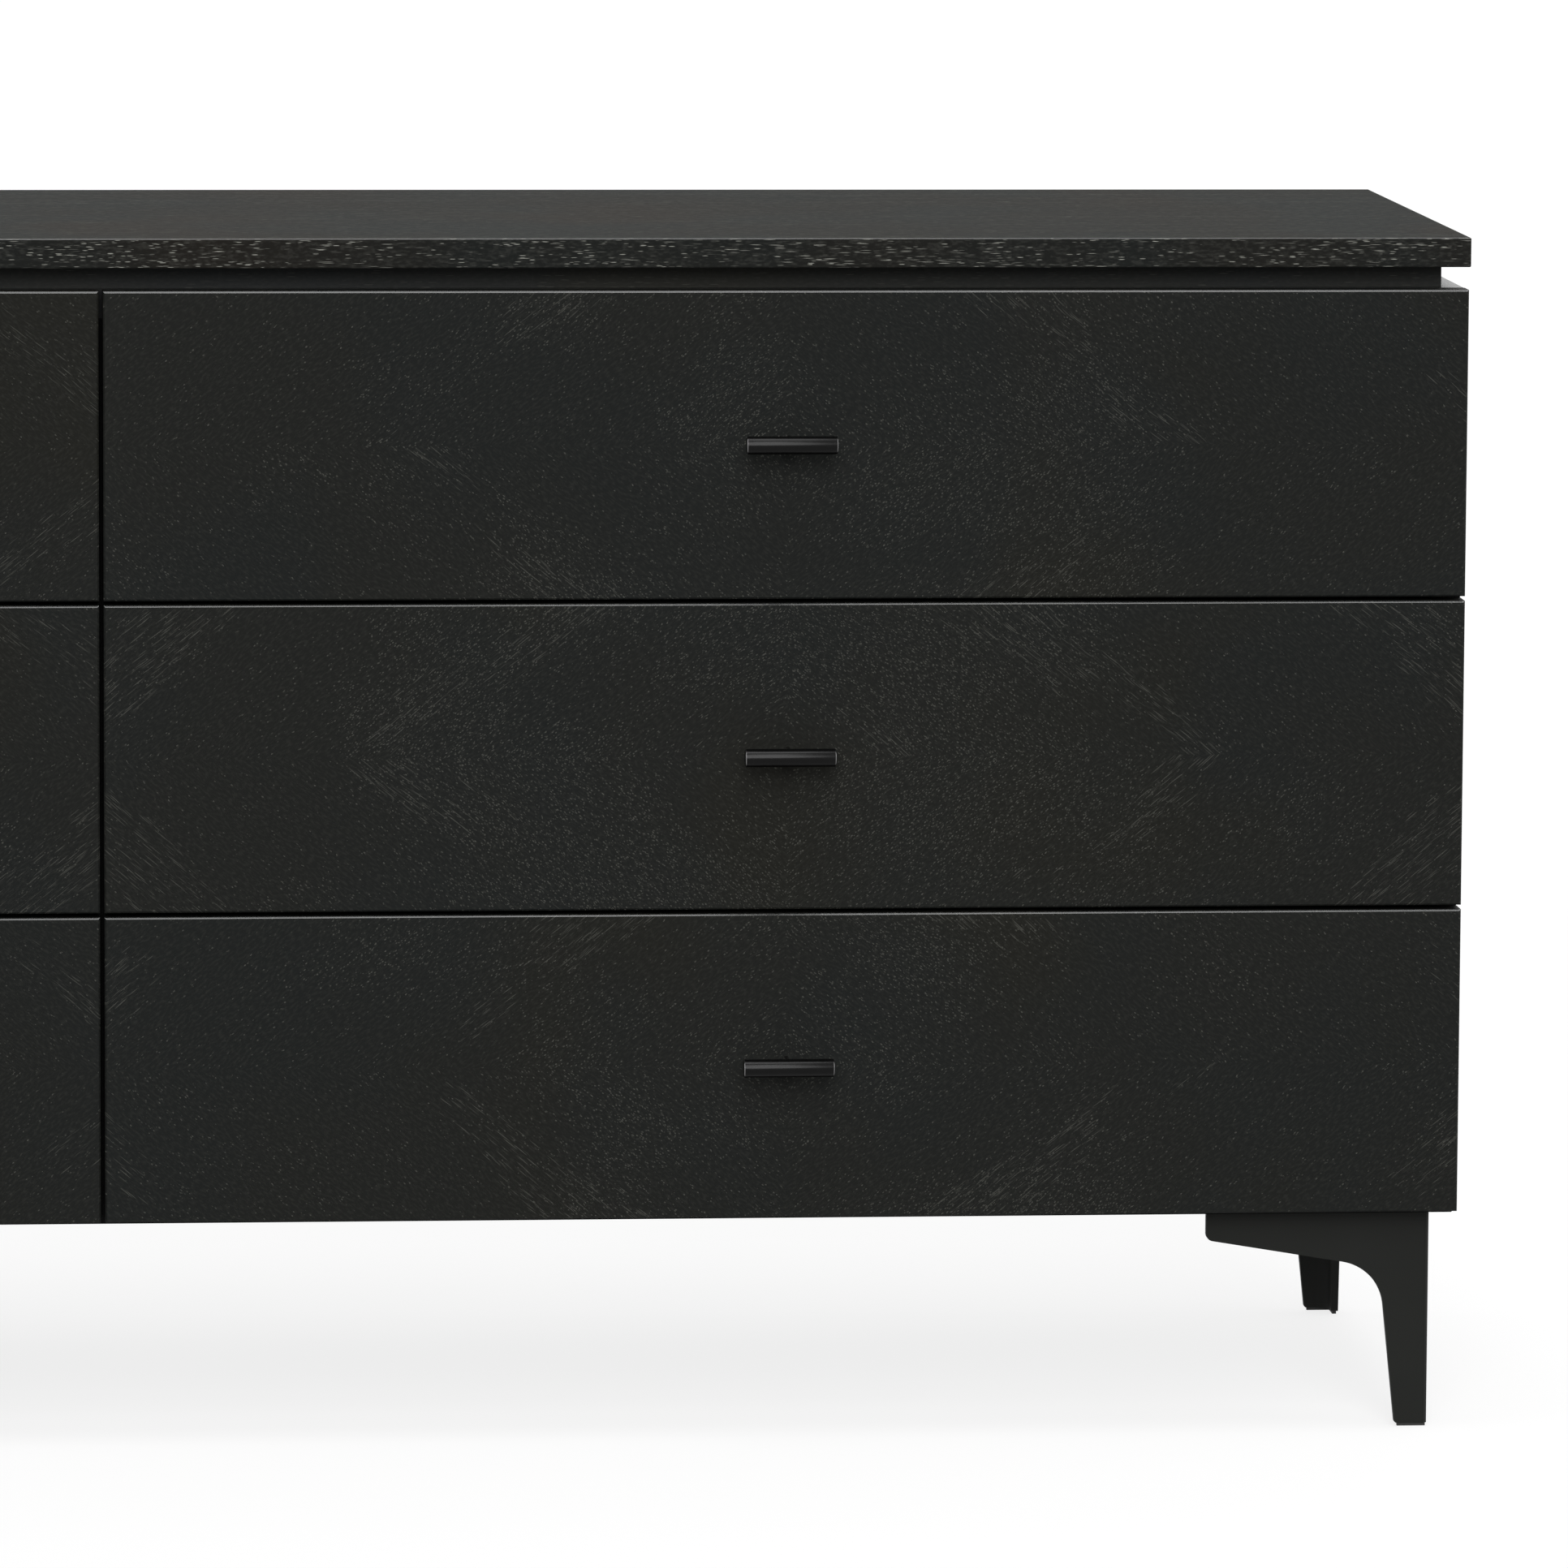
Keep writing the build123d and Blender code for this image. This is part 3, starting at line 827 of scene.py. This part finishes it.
# Painted shade: the case bottom's edges that look along Y, the one under the drawer fronts among them, are
# painted nearly black.
BOTTOM_BOARD = PaintedBoard("black_bottom_paint", edge_shade_tone=(7, 7, 7), edge_shade_share=1.0)
LEG_COAT = PaintedBoard(
    "black_leg_coat", tone=(25, 26, 24), pale=(29, 30, 28), gloss=0.1, dull=0.55, peel=1100.0)
PAD = PaintedBoard(
    "nylon_pad", tone=(38, 38, 37), pale=(46, 46, 45), gloss=0.3, dull=0.6, peel=2500.0)
BUMPER = PaintedBoard(
    "soft_bumper", tone=(92, 92, 90), pale=(104, 104, 101), gloss=0.4, dull=0.35, peel=1500.0)
BOX_SIDE_WOOD = DrawerWood("drawer_side_wood", Grain.ALONG_Y)
BOX_END_WOOD = DrawerWood("drawer_end_wood", Grain.ALONG_X)
BOX_PLY = DrawerWood("drawer_bottom_ply", Grain.ALONG_X, pale=(224, 203, 168), late=(209, 182, 142))
SLIDE_STEEL = PlatedSteel("slide_plating")
SCREW_STEEL = PlatedSteel("screw_plating", tone=(176, 176, 172), lines=(900, 900, 900))
PULL_METAL = SatinBlackMetal("pull_black")


class Workshop:
    """Hands out finishes, dresses CAD nodes and turns bmeshes into pieces of the object."""

    def __init__(self) -> None:
        """Start with no finish built."""
        self.built: dict[str, bpy.types.Material] = {}

    def finish(self, recipe: Finish) -> bpy.types.Material:
        """Build a finish the first time it is asked for.

        Args:
            recipe: Finish to build.

        Returns:
            The finish's material.
        """
        if recipe.name not in self.built:
            self.built[recipe.name] = recipe.material()
        return self.built[recipe.name]

    def dress(self, recipe: Finish, *nodes: str) -> None:
        """Give CAD nodes a finish.

        Args:
            recipe: Finish to give.
            nodes: Names of the nodes.
        """
        for node in nodes:
            for spot in frame["nodes"][node].material_slots:
                spot.material = self.finish(recipe)
            LOG.info("%s: %s", node, recipe.name)

    def add(
        self, name: str, shape: bmesh.types.BMesh, recipe: Finish, body: str, slot: str
    ) -> bpy.types.Object:
        """Add one piece to the object.

        Args:
            name: Name of the piece.
            shape: Its mesh, which is used up.
            recipe: Its finish.
            body: Body that it rides on.
            slot: Name of a material slot; not used.

        Returns:
            The new object.
        """
        bmesh.ops.recalc_face_normals(shape, faces=shape.faces)
        mesh = bpy.data.meshes.new(name)
        shape.to_mesh(mesh)
        shape.free()
        mesh.materials.append(self.finish(recipe))
        mesh.shade_smooth()
        mesh.set_sharp_from_angle(angle=SHARP_ANGLE)
        piece = bpy.data.objects.new(name, mesh)
        bpy.context.scene.collection.objects.link(piece)
        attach(piece, body)
        LOG.info("%s: %d faces on %s", name, len(mesh.polygons), body)
        return piece


@dataclass(frozen=True)
class Rod:
    """A round rod or button that stands on its seat, with eased rims."""

    radius: float
    length: float
    foot_ease: float = 0.0
    head_ease: float = 0.0
    sides: int = 48
    ease_steps: int = 4

    def shape(self) -> bmesh.types.BMesh:
        """Make the rod upright on the origin.

        Returns:
            The rod's mesh.
        """
        rod = bmesh.new()
        bmesh.ops.create_cone(
            rod, cap_ends=True, cap_tris=False, segments=self.sides, radius1=self.radius,
            radius2=self.radius, depth=self.length, matrix=Matrix.Translation((0, 0, self.length / 2)))
        for level, ease in ((0.0, self.foot_ease), (self.length, self.head_ease)):
            rim = [edge for edge in rod.edges
                   if all(abs(corner.co.z - level) < LEVEL_SLACK for corner in edge.verts)]
            if ease > 0:
                bmesh.ops.bevel(
                    rod, geom=rim, offset=ease, offset_type="OFFSET", segments=self.ease_steps,
                    profile=0.5, affect="EDGES", material=-1, clamp_overlap=True)
        return rod


@dataclass(frozen=True)
class PanScrew:
    """Head of a small pan-head screw with a socket.

    The dome and the socket are shares of the height, the slope of the socket one of the wall.
    """

    radius: float = 0.0035
    height: float = 0.0018
    wall: float = 0.0011
    sides: int = 18
    dome: float = 0.7
    socket: float = 0.55
    socket_slope: float = 0.1

    def shape(self) -> bmesh.types.BMesh:
        """Make the head upright on the origin.

        Returns:
            The head's mesh.
        """
        head = Rod(self.radius, self.height, head_ease=self.height * self.dome, sides=self.sides).shape()
        crown = max(head.faces, key=lambda face: face.calc_center_median().z)
        slope = self.wall * self.socket_slope
        depth = -self.height * self.socket
        bmesh.ops.inset_individual(head, faces=[crown], thickness=self.wall)
        bmesh.ops.inset_individual(head, faces=[crown], thickness=slope, depth=depth)
        return head


def merged(shapes: Iterable[bmesh.types.BMesh]) -> bmesh.types.BMesh:
    """Put several shapes into one mesh.

    Args:
        shapes: Shapes to put together, which are used up.

    Returns:
        One mesh with all of them.
    """
    whole = bmesh.new()
    store = bpy.data.meshes.new("store")
    for shape in shapes:
        shape.to_mesh(store)
        shape.free()
        whole.from_mesh(store)
    bpy.data.meshes.remove(store)
    return whole


def moved(shape: bmesh.types.BMesh, move: Matrix) -> bmesh.types.BMesh:
    """Copy a shape to another place.

    Args:
        shape: Shape to copy.
        move: Where the copy goes.

    Returns:
        The copy.
    """
    copy = shape.copy()
    bmesh.ops.transform(copy, matrix=move, verts=copy.verts)
    return copy


def copies(unit: bmesh.types.BMesh, moves: Iterable[Matrix]) -> bmesh.types.BMesh:
    """Repeat one shape at many places.

    Args:
        unit: Shape to repeat, which is used up.
        moves: Where each copy goes.

    Returns:
        One mesh with all the copies.
    """
    shape = merged(moved(unit, move) for move in moves)
    unit.free()
    return shape


@dataclass
class Top:
    """The overhanging top and the recessed neck that carries it."""

    shop: Workshop

    def dress(self) -> None:
        """Give the top, the neck and their screws a finish."""
        self.shop.dress(OAK_TOP, "top_panel")
        # The neck's finish is painted lighter to make up for the shade under the top.
        self.shop.dress(OAK_NECK_LIGHTENED, "neck_frame")
        self.shop.dress(SCREW_STEEL, "top_screws")


@dataclass
class Case:
    """The case with its partition, rails, back and slide tracks."""

    shop: Workshop
    back_screw: PanScrew = PanScrew()
    edge: float = 0.005
    pitch: float = 0.17
    upright_steps: int = 4

    def dress(self) -> None:
        """Give the boards and the slide tracks a finish."""
        self.shop.dress(LACQUER, "case_top")
        self.shop.dress(OAK_SIDE, "left_side", "right_side")
        self.shop.dress(BOARD, "back_panel")
        self.shop.dress(BOTTOM_BOARD, "case_bottom")
        # Painted shade: the partition and rails take the darker gap paint.
        self.shop.dress(GAP_SHADE_BOARD, "centre_partition", "divider_rails")
        self.shop.dress(SLIDE_STEEL, "slide_tracks")

    def build_back_screws(self) -> None:
        """Add the screws round the edges of both halves of the back."""
        low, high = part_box("back_panel")
        left = low.x + self.edge
        right = high.x - self.edge
        across = round((right - left) / self.pitch)
        spots = [(left + (right - left) * step / across, z)
                 for step in range(across + 1)
                 for z in (low.z + self.edge, high.z - self.edge)]
        spots += [(x, low.z + (high.z - low.z) * step / self.upright_steps)
                  for step in range(1, self.upright_steps)
                  for x in (left, -self.edge, self.edge, right)]
        back = Vector(Way.BACK.value)
        screws = copies(self.back_screw.shape(), [aim(back, Vector((x, high.y, z))) for x, z in spots])
        self.shop.add("back_screws", screws, SCREW_STEEL, "case", "zinc_screw")


@dataclass
class Legs:
    """Four corner legs with their pads and screws."""

    shop: Workshop
    corners: tuple[str, ...] = ("front_left", "front_right", "rear_left", "rear_right")

    def dress(self) -> None:
        """Give the legs, pads and screws a finish."""
        self.shop.dress(LEG_COAT, *[f"{corner}_leg" for corner in self.corners])
        self.shop.dress(PAD, "foot_pads")
        self.shop.dress(SCREW_STEEL, "leg_screws")


@dataclass
class Drawer:
    """One drawer: matched front, pull, dovetailed box and slides."""

    shop: Workshop
    name: str
    plenty: float
    seed: float
    pull_radius: float = 0.006
    pull_ease: float = 0.0009
    pull_sides: int = 64
    post_radius: float = 0.0045
    box_board: float = 0.013
    front_screw: PanScrew = PanScrew(radius=0.004, height=0.0022)
    front_screw_columns: tuple[float, ...] = (-0.33, -0.12, 0.12, 0.33)
    front_screw_rows: tuple[float, ...] = (-0.03, 0.04)
    runner_screw: PanScrew = PanScrew(radius=0.0032, height=0.0013)
    runner_screws_back: tuple[float, ...] = (0.035, 0.16, 0.35)
    runner_width: float = 0.0084
    runner_steel: float = 0.0012
    bumper: Rod = Rod(radius=0.004, length=0.0013, head_ease=0.0006, sides=24)
    bumper_columns: tuple[float, ...] = (0.0055, 0.8885)
    bumper_inset: float = 0.042

    @property
    def body(self) -> str:
        """Body that the drawer rides on."""
        return f"{self.name}_drawer"

    def node(self, part: str) -> str:
        """Name of one of the drawer's CAD nodes."""
        return f"{self.name}_{part}"

    def dress(self) -> None:
        """Give the front, the box and the slides a finish."""
        low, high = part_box(self.node("front"))
        middle = tuple((low + high) / 2)
        veneer = DiamondVeneer(f"black_oak_{self.name}", plenty=self.plenty, seed=self.seed, middle=middle)
        self.shop.dress(veneer, self.node("front"))
        self.shop.dress(BOX_SIDE_WOOD, self.node("box_sides"))
        self.shop.dress(BOX_END_WOOD, self.node("box_ends"))
        self.shop.dress(BOX_PLY, self.node("box_bottom"))
        self.shop.dress(SLIDE_STEEL, self.node("runners"), self.node("carriers"))

    def build_pull(self) -> None:
        """Build the T-bar with eased ends on its post, in place of the plain bar."""
        low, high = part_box(self.node("pull"))
        front_low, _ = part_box(self.node("front"))
        middle = (low + high) / 2
        axis_y = low.y + self.pull_radius
        bar = Rod(self.pull_radius, high.x - low.x, self.pull_ease, self.pull_ease, self.pull_sides)
        post = Rod(self.post_radius, front_low.y - axis_y)
        across = aim(Vector(Way.RIGHT.value), Vector((low.x, axis_y, middle.z)))
        inward = aim(Vector(Way.BACK.value), Vector((middle.x, axis_y, middle.z)))
        shape = merged([copies(bar.shape(), [across]), copies(post.shape(), [inward])])
        piece = self.shop.add(self.node("pull_bar"), shape, PULL_METAL, self.body, "black_pull")
        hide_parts(self.node("pull"))

    def build_front_screws(self) -> None:
        """Add the screws inside the box that hold the front and the pull."""
        low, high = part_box(self.node("box_ends"))
        pull_low, pull_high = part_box(self.node("pull"))
        middle = (low + high) / 2
        spots = [(middle.x + x, middle.z + z)
                 for x in self.front_screw_columns
                 for z in self.front_screw_rows]
        spots.append((middle.x, (pull_low.z + pull_high.z) / 2))
        inside = low.y + self.box_board
        back = Vector(Way.BACK.value)
        screws = copies(self.front_screw.shape(), [aim(back, Vector((x, inside, z))) for x, z in spots])
        self.shop.add(self.node("front_screws"), screws, SCREW_STEEL, self.body, "zinc_screw")

    def build_runner_screws(self) -> None:
        """Add the screws that hold the runners to the sides of the box."""
        low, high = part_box(self.node("runners"))
        seat = self.runner_width - self.runner_steel
        level = (low.z + high.z) / 2
        moves = [aim(Vector(way.value), Vector((x, low.y + back, level)))
                 for way, x in ((Way.LEFT, low.x + seat), (Way.RIGHT, high.x - seat))
                 for back in self.runner_screws_back]
        screws = copies(self.runner_screw.shape(), moves)
        self.shop.add(self.node("runner_screws"), screws, SCREW_STEEL, self.body, "zinc_screw")

    def build_bumpers(self) -> None:
        """Add the soft bumpers behind the corners of the front."""
        low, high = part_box(self.node("front"))
        half = 1 if high.x + low.x > 0 else -1
        back = Vector(Way.BACK.value)
        moves = [aim(back, Vector((half * x, high.y, z)))
                 for x in self.bumper_columns
                 for z in (low.z + self.bumper_inset, high.z - self.bumper_inset)]
        bumpers = copies(self.bumper.shape(), moves)
        self.shop.add(self.node("bumpers"), bumpers, BUMPER, self.body, "foot_nylon")

    def build(self) -> None:
        """Dress the drawer and build its small pieces."""
        self.dress()
        self.build_pull()
        self.build_front_screws()
        self.build_runner_screws()
        self.build_bumpers()


@dataclass(frozen=True)
class SoftLamp:
    """A wide lamp that shines from far away.

    The turn is degrees to the right of the front, the height degrees above the floor, the
    strength the light on a surface that faces the lamp, and the spread its width in degrees.
    The distance only says where the lamp stands in the file.
    """

    name: str
    turn: float
    height: float
    strength: float
    spread: float
    distance: float = 4.0

    def hang(self) -> None:
        """Add the lamp to the scene."""
        data = bpy.data.lights.new(self.name, "SUN")
        data.energy = self.strength
        data.angle = math.radians(self.spread)
        lamp = bpy.data.objects.new(self.name, data)
        turn = math.radians(self.turn)
        height = math.radians(self.height)
        level = math.cos(height)
        toward = Vector((math.sin(turn) * level, -math.cos(turn) * level, math.sin(height)))
        lamp.matrix_world = aim(toward, toward * self.distance)
        bpy.context.scene.collection.objects.link(lamp)


@dataclass
class Studio:
    """Pale floor, soft light and the camera."""

    camera_place: Triple = (-0.1357, -7.0, 1.2792)
    yaw: float = math.radians(4.9247)
    pitch: float = math.radians(7.0533)
    roll: float = math.radians(0.3032)
    sensor: float = 36.0
    lens: float = 239.0
    far_limit: float = 200.0
    floor_half: float = 60.0
    floor_cells: int = 4
    floor_drop: float = 0.0005
    floor_tone: float = 0.2
    floor_grit: float = 1.01
    floor_grit_pitch: float = 40.0
    floor_dull: float = 0.9
    floor_lift: float = 0.8
    ambient: float = 0.16
    lamps: tuple[SoftLamp, ...] = (
        SoftLamp("front", -5, 23, 2.1, 34),
        SoftLamp("strip", 0, 47, 0.5, 16),
        SoftLamp("overhead", 0, 80, 0.9, 26),
        SoftLamp("left", -96, 30, 0.7, 60),
        SoftLamp("right", 96, 30, 0.7, 60),
        SoftLamp("back", 180, 38, 0.7, 70),
    )

    def build_floor(self) -> None:
        """Lay the floor, which shows white but keeps the shadow of the dresser."""
        shape = bmesh.new()
        below = Matrix.Translation((0, 0, -self.floor_drop))
        bmesh.ops.create_grid(
            shape, x_segments=self.floor_cells, y_segments=self.floor_cells,
            size=self.floor_half, matrix=below)
        mesh = bpy.data.meshes.new("floor")
        shape.to_mesh(mesh)
        shape.free()
        floor = bpy.data.objects.new("floor", mesh)
        bpy.context.scene.collection.objects.link(floor)
        bench = NodeBench("pale_floor", 0.0)
        mesh.materials.append(bench.material)
        grit = bench.noise(bench.scaled(bench.place, (self.floor_grit_pitch,) * 3), detail=2.0)
        tone = bench.ramp(grit, 0.0, 1.0, self.floor_tone, self.floor_tone * self.floor_grit)
        bench.feed(bench.shader.inputs["Base Color"], bench.join(tone, tone, tone))
        bench.shader.inputs["Roughness"].default_value = self.floor_dull
        bench.shader.inputs["Emission Color"].default_value = WHITE
        lift = bench.times(self.seen(bench.tree), self.floor_lift)
        bench.feed(bench.shader.inputs["Emission Strength"], lift)

    def seen(self, tree: bpy.types.NodeTree) -> Socket:
        """Tell rays that show the backdrop from those that carry light.

        Args:
            tree: Node tree to add to.

        Returns:
            1 for camera, glossy and transmission rays, and 0 for others.
        """
        path = tree.nodes.new("ShaderNodeLightPath")
        total = path.outputs["Is Camera Ray"]
        for name in ("Is Glossy Ray", "Is Transmission Ray"):
            larger = tree.nodes.new("ShaderNodeMath")
            larger.operation = "MAXIMUM"
            tree.links.new(total, larger.inputs[0])
            tree.links.new(path.outputs[name], larger.inputs[1])
            total = larger.outputs[0]
        return total

    def build_light(self) -> None:
        """Hang the soft lamps and set the pale surroundings."""
        world = bpy.data.worlds.new("studio")
        world.use_nodes = True
        bpy.context.scene.world = world
        tree = world.node_tree
        ground = tree.nodes["Background"]
        ground.inputs["Color"].default_value = WHITE
        lift = tree.nodes.new("ShaderNodeMapRange")
        tree.links.new(self.seen(tree), lift.inputs["Value"])
        lift.inputs["To Min"].default_value = self.ambient
        lift.inputs["To Max"].default_value = 1.0
        tree.links.new(lift.outputs[0], ground.inputs["Strength"])
        for lamp in self.lamps:
            lamp.hang()

    def build_camera(self) -> None:
        """Set the camera where the photograph was taken from."""
        data = bpy.data.cameras.new("camera")
        data.lens = self.lens
        data.sensor_width = self.sensor
        data.clip_end = self.far_limit
        camera = bpy.data.objects.new("camera", data)
        level = Vector((math.sin(self.yaw), math.cos(self.yaw), 0))
        ahead = level * math.cos(self.pitch) - Vector((0, 0, math.sin(self.pitch)))
        right = Vector((math.cos(self.yaw), -math.sin(self.yaw), 0))
        up = right.cross(ahead)
        turned = math.cos(self.roll) * right + math.sin(self.roll) * up
        above = math.cos(self.roll) * up - math.sin(self.roll) * right
        axes = Matrix((turned, above, -ahead)).transposed().to_4x4()
        camera.matrix_world = Matrix.Translation(self.camera_place) @ axes
        bpy.context.scene.collection.objects.link(camera)
        bpy.context.scene.camera = camera
        bpy.context.scene.view_settings.view_transform = "Standard"

    def build(self) -> None:
        """Set up the floor, the light and the camera."""
        self.build_floor()
        self.build_light()
        self.build_camera()


def clear_start_objects() -> None:
    """Remove what the empty file holds besides the part."""
    kept = set(frame["nodes"].values()) | set(frame["bodies"].values())
    for thing in list(bpy.data.objects):
        if thing not in kept:
            bpy.data.objects.remove(thing)


def main() -> None:
    """Build the pieces in order, dress them and set the stage."""
    logging.basicConfig(level=logging.INFO, format="%(name)s: %(message)s")
    clear_start_objects()
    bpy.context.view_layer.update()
    shop = Workshop()
    Top(shop).dress()
    case = Case(shop)
    case.dress()
    case.build_back_screws()
    Legs(shop).dress()
    for number, row in enumerate(Row):
        for column, half in enumerate(("left", "right")):
            seed = ROW_SEED * number + COLUMN_SEED * column
            Drawer(shop, f"{half}_{row.name.lower()}", row.value, seed).build()
    Studio().build()


if __name__ == "__main__":
    main()
